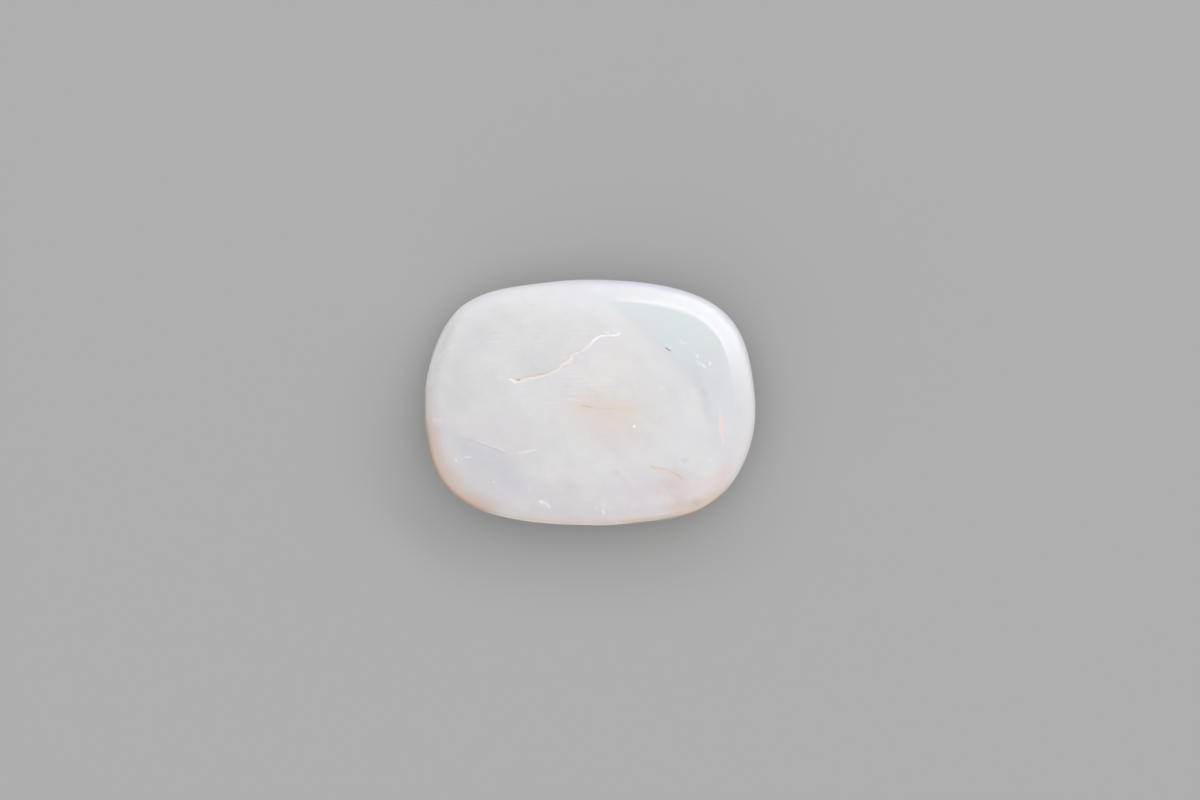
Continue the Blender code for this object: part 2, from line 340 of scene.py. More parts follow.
def chip_share(x, y, chip):
    """1 all along the middle of a chip, down to 0 at its edge and below 0 outside."""
    start, end, radius = complex(*chip[:2]), complex(*chip[2:4]), chip[4]
    way = end - start
    away = x + 1j * y - start
    share = np.clip((away * way.conjugate()).real / max(abs(way) ** 2, 1e-9), 0, 1)
    return 1 - abs(away - share * way) / radius


def split_near_details(mesh):
    """Splits the faces near cracks and chips, and puts the new points back on the dome."""
    for _ in range(FINE_PASSES):
        middles = np.array([f.calc_center_median() for f in mesh.faces])
        x, y, z = middles.T
        wanted = np.zeros(len(x), bool)
        for name, knots in CRACKS.items():
            if name not in SOFT_BANDS:
                place = crack_place(x, y, knots)
                beside = abs(place[:, 0] - 0.5) < 0.5 + PAST_ENDS
                wanted |= (abs(place[:, 1]) < FINE_REACH) & beside
        for chip in [*CHIPS_AND_PAINTED_HIGHLIGHTS, PIT, DARK_SCRATCH]:
            wanted |= chip_share(x, y, chip) * chip[4] > -FINE_REACH / 2
        wanted &= z > RELIEF_HEIGHT
        faces = [f for f, w in zip(mesh.faces, wanted) if w]
        edges = list(dict.fromkeys(e for f in faces for e in f.edges))
        old = set(mesh.verts)
        bmesh.ops.subdivide_edges(mesh, edges=edges, cuts=1, use_grid_fill=True)
        for v in mesh.verts:
            if v not in old:
                height = face_height(np.array([complex(v.co.x, v.co.y)]))[0]
                if v.co.z > GIRDLE_HEIGHT + BORDER_RISE and abs(v.co.z - height) < ON_DOME:
                    v.co.z = height


def ground_flat(points):
    """Takes the left shoulder down to the ground flat, with its edges slightly rounded."""
    facing = np.array([
        math.cos(FLAT_FACING) * math.cos(FLAT_TILT),
        math.sin(FLAT_FACING) * math.cos(FLAT_TILT),
        math.sin(FLAT_TILT),
    ])  # fmt: skip
    foot = np.array([
        math.cos(FLAT_FACING) * FLAT_DISTANCE,
        math.sin(FLAT_FACING) * FLAT_DISTANCE,
        GIRDLE_HEIGHT,
    ])  # fmt: skip
    proud = (points - foot) @ facing
    blend = np.clip(1 - abs(proud) / FLAT_EDGE_ROUND, 0, 1)
    proud = np.maximum(proud, 0) + blend**2 * FLAT_EDGE_ROUND / 4
    return points - proud[:, None] * facing


def sink(points, places):
    """How deep each point of the face sinks into a crack, chip or pit."""
    x, y = points[:, 0], points[:, 1]
    depth = np.zeros(len(x))
    for name, deepest in RELIEF_CRACKS.items():
        along, across, half_width = places[name].T
        ends = np.clip(np.minimum(along, 1 - along) * END_RISE + END_DEPTH, 0, 1)
        side = np.clip(1 - (across / half_width) ** 2, 0, None)
        depth = np.maximum(depth, deepest * ends * side)
    for chip in [*CHIPS_AND_PAINTED_HIGHLIGHTS, PIT, DARK_SCRATCH]:
        depth = np.maximum(depth, chip[5] * np.clip(chip_share(x, y, chip) * CHIP_RISE, 0, 1))
    return np.where(points[:, 2] > RELIEF_HEIGHT, depth, 0)


def inset(points):
    """How far each point lies in from the girdle, seen from above; below the girdle, minus its depth."""
    across = points[:, 0] + 1j * points[:, 1]
    below = points[:, 2] - GIRDLE_HEIGHT
    return np.where(below < 0, below, reach_of_girdle(across) - abs(across))


def make_stone():
    """The finished stone, with the places of its cracks and chips kept on the mesh for its colours."""
    fine = closed_stone()
    split_near_details(fine)
    data = bpy.data.meshes.new("polished_opal")
    fine.to_mesh(data)
    fine.free()
    points = np.empty(len(data.vertices) * 3)
    data.vertices.foreach_get("co", points)
    points = points.reshape(-1, 3)
    x, y = points[:, 0], points[:, 1]
    places = {name: crack_place(x, y, knots) for name, knots in CRACKS.items()}
    chips = [chip[6] * np.clip(WHITE_RISE * chip_share(x, y, chip), 0, 1) for chip in CHIPS_AND_PAINTED_HIGHLIGHTS]
    chips = np.max(chips, axis=0) * (points[:, 2] > GIRDLE_HEIGHT)
    spots = np.stack([chips, chip_share(x, y, PIT), chip_share(x, y, DARK_SCRATCH)], axis=1)
    for name, values in {**places, "spots": spots}.items():
        kept = data.attributes.new(name, "FLOAT_VECTOR", "POINT")
        kept.data.foreach_set("vector", np.ascontiguousarray(values, np.float32).ravel())
    kept = data.attributes.new("inset", "FLOAT", "POINT")
    kept.data.foreach_set("value", inset(points).astype(np.float32))
    points[:, 2] -= sink(points, places)
    points = ground_flat(points)
    data.vertices.foreach_set("co", (points * MM).ravel())
    data.shade_smooth()
    data.update()
    made = bpy.data.objects.new("polished_opal", data)
    bpy.context.scene.collection.objects.link(made)
    return made


stone = make_stone()


def srgb(hex_colour):
    """A linear colour from sRGB hex."""
    channels = [int(hex_colour[i : i + 2], 16) / 255 for i in (1, 3, 5)]
    return (*[c / 12.92 if c <= 0.04045 else ((c + 0.055) / 1.055) ** 2.4 for c in channels], 1)


def add(tree, kind, inputs, **settings):
    """Adds a node with its settings; each input is a value or a socket. Gives its output."""
    made = tree.nodes.new("ShaderNode" + kind)
    for name, value in settings.items():
        setattr(made, name, value)
    live = [socket for socket in made.inputs if socket.enabled]
    for key, value in inputs.items():
        socket = live[key] if isinstance(key, int) else next(s for s in live if s.name == key)
        if isinstance(value, bpy.types.NodeSocket):
            tree.links.new(value, socket)
        else:
            socket.default_value = value
    return next(socket for socket in made.outputs if socket.enabled)


def fade(tree, value, nothing, full, strength=1.0):
    """Runs smoothly from 0, where the value is `nothing`, to the strength, where it is `full`."""
    ends = {"Value": value, "From Min": nothing, "From Max": full, "To Max": strength}
    return add(tree, "MapRange", ends, interpolation_type="SMOOTHSTEP")


def times(tree, *shares):
    """All the shares multiplied."""
    result = shares[0]
    for share in shares[1:]:
        result = add(tree, "Math", {0: result, 1: share}, operation="MULTIPLY")
    return result


def tint(tree, colour, share, hex_colour):
    """The colour, changed to another by this share."""
    return add(tree, "Mix", {"Factor": share, "A": colour, "B": srgb(hex_colour)}, data_type="RGBA")


# Soft zones of colour that run right through the milk, and a painted highlight along the top: the middle x
# and y, half-length and half-width in millimetres, the lean in degrees, how strong they are and their
# colour.
MILK_ZONES_AND_TOP_HIGHLIGHT = {
    # A painted highlight: the top is lightened where the softbox beyond the top edge shines on it.
    "painted highlight along the top": (1.5, 7.0, 9.5, 3.4, 0, 0.6, "#e3e4e8"),
    "grey left": (-9.2, 0.6, 4.2, 4.6, 0, 0.8, "#ccccce"),
    "grey shoulder": (-7.4, 4.6, 3.8, 2.8, 30, 0.85, "#d2d2d5"),
    "dull lower left": (-6.6, -4.6, 5.0, 3.4, -38, 0.8, "#c9c7cb"),
    "dull bottom": (-2.0, -6.2, 6.0, 2.6, 0, 0.7, "#cdc9cd"),
    "peach heart": (0.9, -0.7, 4.2, 2.6, -4, 0.5, "#e0d3c9"),
    "peach low": (1.4, -2.4, 2.9, 1.9, 0, 0.3, "#dad0c9"),
    "light heart": (0.5, 2.1, 3.6, 2.6, 0, 0.5, "#e4e0de"),
    "grey middle": (-4.7, -1.9, 4.2, 2.4, -25, 0.6, "#d1cfd1"),
    "grey low right": (5.2, -4.4, 2.2, 1.4, 0, 0.5, "#d2ced2"),
    "lilac low left": (-4.6, -4.7, 2.8, 0.9, -32, 0.4, "#cdccd6"),
    "light low left": (-6.0, -2.9, 1.6, 0.9, -20, 0.35, "#dadbe3"),
    "light right": (5.4, -1.8, 1.6, 3.6, 12, 0.4, "#dddde1"),
    "mauve bottom": (3.0, -5.6, 3.2, 2.0, 8, 0.55, "#d2c8d0"),
    "rose right": (5.3, -5.6, 1.4, 1.7, 8, 0.65, "#d3c1c0"),
    "rose low right": (6.6, -5.0, 1.8, 1.2, 20, 0.55, "#d6caca"),
    "rose shoulder": (8.1, -4.3, 1.5, 0.8, 30, 0.7, "#dcc7c5"),
    "violet right": (8.0, -2.8, 1.3, 1.9, 0, 0.5, "#d4d2db"),
}
ZONE_DRIFT = 0.6  # how far the edge of a zone drifts
RIGHT_THROUGH = 1000.0  # half-depth of a zone, far more than the stone's thickness

# Small marks just under the polish, in the same terms.
MARKS = {
    "brown patch": (6.42, -5.98, 0.62, 0.44, 12, 0.45, "#ccb3a4"),
    "white spot at the left": (-9.16, -1.16, 0.46, 0.34, -20, 0.6, "#d9d6e0"),
    "straw fleck": (-2.15, -4.62, 0.16, 0.30, 10, 0.7, "#dcdbcc"),
    "straw haze": (-1.93, -4.98, 0.50, 0.40, 0, 0.35, "#d7d6ca"),
    "grey smudge low": (1.64, -4.22, 0.32, 0.28, 0, 0.5, "#cdc7cc"),
    "grey smudge right": (5.75, -3.50, 0.40, 0.32, 0, 0.5, "#cbc9cc"),
    "blue smudge": (6.92, 0.66, 0.22, 0.42, 15, 0.6, "#c6ced6"),
    "light cloud right": (4.30, 0.85, 0.30, 0.36, 0, 0.5, "#e6e1e7"),
    "light spot low right": (7.26, -3.48, 0.30, 0.26, 0, 0.6, "#e2e1ec"),
    "haze round the low flaws": (-2.75, -6.05, 0.55, 0.36, -35, 0.4, "#dcdbe2"),
    "grey flaw left": (-7.40, -2.85, 0.46, 0.50, 0, 0.6, "#c6cad0"),
    "grey shade by the pit": (-4.95, 1.15, 0.40, 0.25, 0, 0.3, "#d3d3d8"),
}
MARK_DRIFT = 0.12
MARK_DEPTH = 4.0  # half-depth of a mark, so that it is gone before the back

DRIFT_WAVES = 0.35  # waves of the drift in each of its own lengths


def lay_zones(tree, colour, place, zones, drift, half_depth):
    """Lays soft ellipses of colour down from the face, their edges drifting by up to so many millimetres."""
    noise = add(tree, "TexNoise", {"Vector": place, "Scale": DRIFT_WAVES / drift, "Detail": 3.0})
    wander = {0: noise.node.outputs["Color"], 1: (0.5, 0.5, 0.5)}
    wander = add(tree, "VectorMath", wander, operation="SUBTRACT")
    wander = {0: wander, 1: (4 * drift, 4 * drift, 0), 2: place}
    drifted = add(tree, "VectorMath", wander, operation="MULTIPLY_ADD")
    for x, y, half_length, half_width, lean, strength, hex_colour in zones.values():
        own = {
            "Vector": drifted,
            "Location": (x, y, THICKNESS),
            "Rotation": (0, 0, math.radians(lean)),
            "Scale": (half_length, half_width, half_depth),
        }
        own = add(tree, "Mapping", own, vector_type="TEXTURE")
        away = add(tree, "VectorMath", {0: own}, operation="LENGTH")
        colour = tint(tree, colour, fade(tree, away, 1.0, 0.1, strength), hex_colour)
    return colour


def crack_parts(tree, name, wobble):
    """Along the crack (0 to 1), across it in its half-widths (above it is positive), and across in mm."""
    kept = add(tree, "Attribute", {}, attribute_name=name).node.outputs["Vector"]
    along = add(tree, "SeparateXYZ", {"Vector": kept})
    millimetres = add(tree, "Math", {0: along.node.outputs["Y"], 1: wobble}, operation="ADD")
    widths = {0: millimetres, 1: along.node.outputs["Z"]}
    return along, add(tree, "Math", widths, operation="DIVIDE"), millimetres


def between(tree, along, start, end, soft):
    """1 along this stretch of a crack, fading to 0 past both its ends."""
    return times(tree, fade(tree, along, start - soft, start), fade(tree, along, end + soft, end))


def band(tree, across, low, high, soft):
    """1 between two distances across a crack, fading to 0 past both."""
    return times(tree, fade(tree, across, low - soft, low), fade(tree, across, high + soft, high))


CRESCENT_RIM = (1.26, 1.36)  # the bluish crescent fades in between these distances from the girdle


def light_crescent(tree, colour, wobble, inset, on_face):
    """The clear blue-green crescent inside the bevel, with a lit inner edge and a dusky lower end."""
    along, _, across = crack_parts(tree, "crescent_edge", wobble)
    shown = times(tree, between(tree, along, 0.06, 0.78, 0.16), on_face)
    lit = times(tree, band(tree, across, -1.1, -0.5, 0.6), shown, 0.35)
    colour = tint(tree, colour, lit, "#e4e4e7")
    outside = times(tree, fade(tree, across, -0.4, 0.5), fade(tree, inset, *CRESCENT_RIM), shown)
    colour = tint(tree, colour, times(tree, outside, 0.75), "#d4d8de")
    green = times(tree, outside, between(tree, along, 0, 0.35, 0.25), 0.7)
    colour = tint(tree, colour, green, "#d7dfe2")
    dusk = times(tree, band(tree, across, 0.05, 0.2, 0.3), between(tree, along, 0.55, 0.75, 0.12), on_face)
    return tint(tree, colour, times(tree, dusk, 0.3), "#c8ccd3")


# What has soaked in along each crack, and a painted shadow along the fissure's upper lip: whether it is
# measured across in millimetres or in half-widths, from where to where and how softly it ends (above the
# crack is positive), from where to where along it (0 to 1) and how softly it ends there, how strong it is
# and its colour.
SOAKED_IN_AND_PAINTED_SHADOW = {
    "violet_band": {
        "violet": ("widths", 0.0, 0.0, 1.5, 0.02, 0.55, 0.25, 0.55, "#c8c8d1"),
    },
    "amber_streak": {
        "glow": ("mm", 0.0, 0.0, 0.85, 0.15, 0.8, 0.25, 0.45, "#dfd2c6"),
        "core": ("widths", -0.1, 0.1, 1.1, 0.22, 0.34, 0.1, 0.8, "#d4c0a8"),
        "thread": ("widths", -0.2, 0.2, 1.1, 0.4, 0.62, 0.08, 0.4, "#cdc0b4"),
        "blush": ("widths", -0.3, 0.3, 1.7, 0.72, 0.9, 0.1, 0.5, "#dccdbc"),
    },
    "stained_crack": {
        "halo": ("mm", -0.3, -0.1, 0.25, 0.5, 0.9, 0.3, 0.5, "#dccfcc"),
        "iron": ("widths", -0.1, 0.1, 1.3, 0.08, 0.85, 0.1, 0.75, "#d8c5b9"),
    },
    "fissure": {
        "tan above": ("mm", 0.08, 0.22, 0.25, 0.15, 0.6, 0.15, 0.25, "#d5cdc4"),
        # Painted shadow: a thin orange-brown shade along the fissure's upper lip.
        "painted shadow on the upper lip": ("mm", 0.08, 0.14, 0.08, 0.16, 0.34, 0.08, 0.6, "#d6c4b2"),
        "lilac below": ("mm", -0.6, -0.15, 0.3, 0.2, 0.95, 0.12, 0.3, "#dedce5"),
    },
}

# The colour of the cracks' own walls and lips, in the same terms, over the fissure's white walls, with
# painted light on the fissure's wall by the pit and painted shade and highlight on the hairline's lips.
WALLS_AND_PAINTED_LIGHT = {
    "fissure": {
        # Partly peach colour and partly painted light on the wall by the pit that faces the light.
        "peach wall by the pit with painted light": ("widths", -0.4, 0.4, 0.9, 0.19, 0.28, 0.03, 0.6, "#efe6e0"),
        "peach knot": ("widths", -0.4, 0.4, 0.9, 0.56, 0.6, 0.03, 0.8, "#efe6de"),
    },
    "hairline": {
        "shade under it": ("mm", -0.5, -0.1, 0.2, 0.1, 0.5, 0.2, 0.3, "#c9c7cf"),
        # Painted shade below the hairline's tiny step and painted highlight on its upper lip, faint in the
        # middle and white at its right end.
        "painted shade on the lower lip": ("widths", -1.4, -0.8, 0.7, 0.05, 0.52, 0.06, 0.6, "#c6bfbb"),
        "painted highlight on the upper lip": ("widths", 0.0, 0.8, 0.8, 0.25, 0.52, 0.08, 0.7, "#e2dee2"),
        "faint painted highlight in the middle": ("widths", 0.0, 0.8, 0.8, 0.58, 0.74, 0.06, 0.25, "#dddcde"),
        "painted highlight at the right end": ("widths", 0.0, 0.8, 0.8, 0.74, 0.92, 0.06, 0.7, "#e4e4e3"),
    },
    "fire_needle": {
        "pink needle": ("widths", -0.2, 0.2, 1.5, 0.1, 0.9, 0.15, 0.7, "#e9dcda"),
        "brightest pink": ("widths", -0.2, 0.2, 1.5, 0.4, 0.66, 0.1, 0.7, "#eed6d8"),
    },
}


def stain_cracks(tree, colour, cracks, wobbles, on_face):
    """Lays each crack's stains, painted shade and painted highlights along it, their edges wobbling."""
    for name, stains in cracks.items():
        along, widths, millimetres = crack_parts(tree, name, wobbles[name])
        for unit, low, high, soft, start, end, soft_ends, strength, hex_colour in stains.values():
            across = millimetres if unit == "mm" else widths
            share = times(
                tree,
                band(tree, across, low, high, soft),
                between(tree, along, start, end, soft_ends),
                on_face,
                strength,
            )
            colour = tint(tree, colour, share, hex_colour)
    return colour


WALL_PATCHES_PER_MM = 3.5  # 0.3 mm apart


def whiten_walls(tree, colour, place, wobble, on_face):
    """The fissure's broken walls: patchy cream all along, and white at the right end. This is partly their
    own white and partly painted light that lifts the shade in the groove.
    """
    along, widths, _ = crack_parts(tree, "fissure", wobble)
    patchy = add(tree, "TexNoise", {"Vector": place, "Scale": WALL_PATCHES_PER_MM, "Detail": 2.0})
    wall = times(tree, band(tree, widths, -0.4, 0.4, 0.9), between(tree, along, 0.0, 1.0, 0.03), on_face)
    cream = times(tree, wall, fade(tree, patchy, 0.15, 0.42, 0.95), fade(tree, along, -0.1, 0.15))
    colour = tint(tree, colour, cream, "#ece9e9")
    white = times(tree, wall, fade(tree, along, 0.78, 0.88, 0.8))
    return tint(tree, colour, white, "#f8f7f8")


EDGE_WOBBLE = 0.08  # how far the edges of a crack's stains wobble to both sides, in millimetres,
EDGE_WOBBLES_PER_MM = 2.6  # 0.4 mm apart,
BAND_WOBBLE = 0.6  # and how far those of the soft bands do,
BAND_WOBBLES_PER_MM = 0.6  # 1.7 mm apart


def crack_colour(tree, colour, place, inset, on_face):
    """Colours the cracks: cream and orange walls, iron stains, painted shade and highlights on the lips, a
    violet band and the bluish crescent.
    """
    fine = add(tree, "TexNoise", {"Vector": place, "Scale": EDGE_WOBBLES_PER_MM, "Detail": 3.0})
    fine = {0: fine, 1: 2 * EDGE_WOBBLE, 2: -EDGE_WOBBLE}
    fine = add(tree, "Math", fine, operation="MULTIPLY_ADD")
    slow = add(tree, "TexNoise", {"Vector": place, "Scale": BAND_WOBBLES_PER_MM, "Detail": 3.0})
    slow = {0: slow, 1: 2 * BAND_WOBBLE, 2: -BAND_WOBBLE}
    slow = add(tree, "Math", slow, operation="MULTIPLY_ADD")
    wobbles = {**dict.fromkeys(CRACKS, fine), "violet_band": slow, "fire_needle": 0.0}
    colour = light_crescent(tree, colour, slow, inset, on_face)
    colour = stain_cracks(tree, colour, SOAKED_IN_AND_PAINTED_SHADOW, wobbles, on_face)
    colour = whiten_walls(tree, colour, place, fine, on_face)
    return stain_cracks(tree, colour, WALLS_AND_PAINTED_LIGHT, wobbles, on_face)


CHIP_RAGGED = 0.7  # how far raggedness eats into the chips and the pit, as a share of their radius,
CHIP_TEETH_PER_MM = 6.0  # its teeth 0.17 mm apart


def chip_colour(tree, colour, place, on_face):
    """Whitens the chips and specks and paints the highlight lines, and darkens the pit and the scratch.
    Gives their share too.
    """
    ragged = add(tree, "TexNoise", {"Vector": place, "Scale": CHIP_TEETH_PER_MM, "Detail": 2.0})
    ragged = {0: ragged, 1: 2 * CHIP_RAGGED, 2: -CHIP_RAGGED}
    ragged = add(tree, "Math", ragged, operation="MULTIPLY_ADD")
    spots = add(tree, "Attribute", {}, attribute_name="spots").node.outputs["Vector"]
    spots = add(tree, "SeparateXYZ", {"Vector": spots}).node.outputs
    uneven = add(tree, "Math", {0: ragged, 1: 1.0}, operation="ADD")
    white = add(tree, "Math", {0: spots["X"], 1: uneven}, operation="MULTIPLY", use_clamp=True)
    colour = tint(tree, colour, white, "#f2f2f5")
    pit = add(tree, "Math", {0: spots["Y"], 1: ragged}, operation="ADD")
    rust = times(tree, fade(tree, pit, 0.0, 0.5), on_face)
    colour = tint(tree, colour, times(tree, rust, 0.65), "#c9b2a5")
    dark = times(tree, fade(tree, spots["Z"], 0.0, 0.4), on_face)
    colour = tint(tree, colour, times(tree, dark, 0.9), "#abacb2")
    return colour, add(tree, "Math", {0: white, 1: rust}, operation="MAXIMUM")


# What has soaked into the rim, and painted light and shade on it: the way it faces and how far it spreads to
# both sides in degrees, how far in it reaches and how softly it ends in millimetres, how strong it is and
# its colour.
RIM_STAINS_AND_PAINTED_LIGHT = {  # facing°, spread°, reach mm, soft mm, strength, colour
    # Painted reflection: the lilac sheen of the softbox beyond the top edge on the upper left rim.
    "painted lilac reflection at the upper left": (118, 42, 2.00, 2.00, 0.7, "#e5e4eb"),
    # Painted light: the rim at the right end is lightened where it turns away from the lamps.
    "painted light at the right end": (345, 34, 1.30, 1.30, 0.7, "#ede6e8"),
    # Painted light: a bluish line along the top edge, on the side the key softbox lights.
    "painted bluish light along the top": (62, 56, 0.44, 0.24, 0.8, "#d4d6e5"),
    "grey at the right shoulder": (14, 22, 0.38, 0.26, 0.5, "#d1d0d6"),
    # Painted light: the edge of the left shoulder's flat is lightened against its shade.
    "painted light on the left shoulder's edge": (157, 18, 0.50, 0.50, 0.6, "#efecee"),
    "grey on the left shoulder": (174, 12, 0.60, 0.60, 0.5, "#d2cbc9"),
    "rust at the left end": (184, 16, 0.90, 0.90, 0.5, "#cabdba"),
    "dark line at the left end": (185, 14, 0.16, 0.14, 0.9, "#a3948f"),
    # The warm rim along the bottom, the lower left and the lower right is partly iron stain and partly
    # painted warm light that has passed through the stone away from the key softbox, with painted shade in
    # its dark edges; the gold edge along the bottom also lightens the shaded rim.
    "tan and painted warm light along the bottom": (258, 60, 0.80, 0.80, 0.7, "#ddd0c9"),
    "gold edge and painted light along the bottom": (272, 70, 0.18, 0.16, 0.85, "#f1e2d6"),
    "rust and painted warm light at the lower left": (207, 28, 1.60, 1.60, 0.85, "#c4ada2"),
    "dark edge and painted shade at the lower left": (204, 24, 0.32, 0.32, 0.9, "#a58c7a"),
    "gold edge and painted warm light at the lower right": (301, 15, 0.44, 0.34, 0.7, "#e0c8b3"),
    "rust and painted warm light at the lower right": (317, 18, 1.1, 1.0, 0.8, "#dfc8bb"),
    "dark edge and painted shade at the lower right": (315, 17, 0.18, 0.18, 0.95, "#a18a7b"),
    "lilac at the right end": (340, 18, 0.35, 0.35, 0.5, "#e2d6d8"),
}
RIM_DRIFT = 0.35  # how far the inner edge of a rim stain drifts in and out,
RIM_PATCHES_PER_MM = 0.9  # 1.1 mm apart
RIM_WANDER = 1.5  # how far the stains wander round the rim and the side,
RIM_WANDERS_PER_MM = 0.3  # 3.3 mm apart
RIM_RAGGED = 0.11  # how ragged their edges are on the side, as a share of their spread
DOWN_UNEVEN = 3.0  # down the side, noise adds up to this to each place's inset,
DOWN_FADE = (-0.6, 1.3)  # and the stains fade in between these sums

# The crisp bevel's painted highlight, in the same terms: the key softbox's reflection painted into its
# colour, cool all along it, and whitest by its two edges.
PAINTED_BEVEL_HIGHLIGHT = {
    "painted cool sheen on the bevel": (42, 72, 1.38, 0.12, 0.7, "#e0e1e7"),
    "painted highlight at the ridge": (45, 34, 1.38, 0.12, 0.75, "#eeeef0"),
    "painted lavender sheen in the middle": (48, 48, 1.18, 0.30, 0.6, "#e2e2e8"),
    "painted grey sheen along the top": (76, 26, 1.30, 0.30, 0.35, "#d6d7de"),
    "painted highlight at the corner": (38, 20, 1.10, 0.40, 0.5, "#eeeef1"),
    "painted highlight along the outer line": (38, 21, 0.66, 0.20, 0.6, "#f1f1f4"),
}
# The bevel's painted highlight lies unevenly on it, in mottles.
BEVEL_UNEVEN = 0.4  # how unevenly the milk lies on the bevel,
BEVEL_MOTTLES_PER_MM = 1.2  # in mottles 0.8 mm apart


def lay_rim(tree, colour, outward, depth, shown, stain):
    """Lays one stain or painted highlight on the rim, as far as the rim is shown."""
    facing, spread, reach, soft, strength, hex_colour = stain
    way = (math.cos(math.radians(facing)), math.sin(math.radians(facing)), 0)
    way = add(tree, "VectorMath", {0: outward, 1: way}, operation="DOT_PRODUCT").node.outputs["Value"]
    ahead = fade(tree, way, math.cos(math.radians(spread)), math.cos(math.radians(spread / 3)), strength)
    inner = fade(tree, depth, reach, reach - soft)
    return tint(tree, colour, times(tree, ahead, inner, shown), hex_colour)


def rim_colour(tree, colour, place, inset):
    """The crisp bevel's painted highlight, and a thin skin at the rim and down the side: rust, tan and blue,
    with painted light and shade.
    """
    patchy = add(tree, "TexNoise", {"Vector": place, "Scale": RIM_PATCHES_PER_MM, "Detail": 4.0})
    drift = {0: patchy, 1: 2 * RIM_DRIFT, 2: -RIM_DRIFT}
    drift = add(tree, "Math", drift, operation="MULTIPLY_ADD")
    drift = add(tree, "Math", {0: drift, 1: fade(tree, inset, 0.0, 0.8)}, operation="MULTIPLY")
    depth = add(tree, "Math", {0: inset, 1: drift}, operation="ADD")

    # The stains wander round the side by a millimetre or so, get ragged edges there, and thin out down it.
    wander = add(tree, "TexNoise", {"Vector": place, "Scale": RIM_WANDERS_PER_MM, "Detail": 4.0})
    wander = {0: wander.node.outputs["Color"], 1: (0.5, 0.5, 0.5)}
    wander = add(tree, "VectorMath", wander, operation="SUBTRACT")
    wander = {0: wander, 1: (2 * RIM_WANDER, 2 * RIM_WANDER, 0), 2: place}
    wander = add(tree, "VectorMath", wander, operation="MULTIPLY_ADD")
    outward = add(tree, "VectorMath", {0: wander, 1: (1, 1, 0)}, operation="MULTIPLY")
    outward = add(tree, "VectorMath", {0: outward}, operation="NORMALIZE")
    ragged = {0: patchy, 1: 2 * RIM_RAGGED, 2: 1 - RIM_RAGGED}
    ragged = add(tree, "Math", ragged, operation="MULTIPLY_ADD")
    ragged = add(tree, "Mix", {"Factor": fade(tree, inset, 0.2, -0.5), "A": 1.0, "B": ragged})
    outward = add(tree, "VectorMath", {0: outward, "Scale": ragged}, operation="SCALE")
    down = add(tree, "Math", {0: patchy, 1: DOWN_UNEVEN, 2: inset}, operation="MULTIPLY_ADD")
    shown = fade(tree, down, *DOWN_FADE)

    mottled = add(tree, "TexNoise", {"Vector": place, "Scale": BEVEL_MOTTLES_PER_MM, "Detail": 3.0})
    uneven = {0: mottled, 1: 2 * BEVEL_UNEVEN, 2: -BEVEL_UNEVEN}
    uneven = add(tree, "Math", uneven, operation="MULTIPLY_ADD")
    uneven = times(tree, uneven, fade(tree, inset, 1.3, 0.9))
    uneven = add(tree, "Math", {0: inset, 1: uneven}, operation="ADD")
    for stain in PAINTED_BEVEL_HIGHLIGHT.values():
        colour = lay_rim(tree, colour, outward, uneven, shown, stain)
    for stain in RIM_STAINS_AND_PAINTED_LIGHT.values():
        colour = lay_rim(tree, colour, outward, depth, shown, stain)
    return colour


# The stone's own patterns, relief and polish, with sizes in millimetres.
FACE_START = (0.3, 0.5)  # the marks of the face fade in between these heights above the girdle
BACK_END = (0.2, 0.02)  # the back's matt finish fades in between these heights above the floor
CLOUDS_PER_MM = 0.24  # 4 mm wide
CURDS_PER_MM = 1.1  # 0.9 mm wide
FOLD_LEAN = math.radians(-42)
FOLD_SIZE = (9.0, 1.1, 3.0)  # length, spacing and depth
LINES_PER_MM = 8.0
LINE_BREAKS_PER_MM = 0.6
LINES_MIDDLE = (-2.8, 2.4, 0)  # the polishing lines show round here,
LINES_REACH = (6.5, 3.4, RIGHT_THROUGH)  # and fade out this far away
LINE_HEIGHT = 0.0006
WAVES_PER_MM = 0.5
WAVE_HEIGHT = 0.012
SCRATCH_LEAN = math.radians(25)
SCRATCH_SIZE = (3.0, 0.11, 1.0)  # length, spacing and depth
SCRATCH_HEIGHT = 0.03
POLISHED = 0.08  # roughness of the polish,
LESS_POLISHED = 0.06  # how much more the curds may add to it,
CHIPPED = 0.45  # of chips and the pit,
GROUND_MATT = 0.4  # and of the back
GLOW_DEPTH = 4.0  # how far light runs through the milk


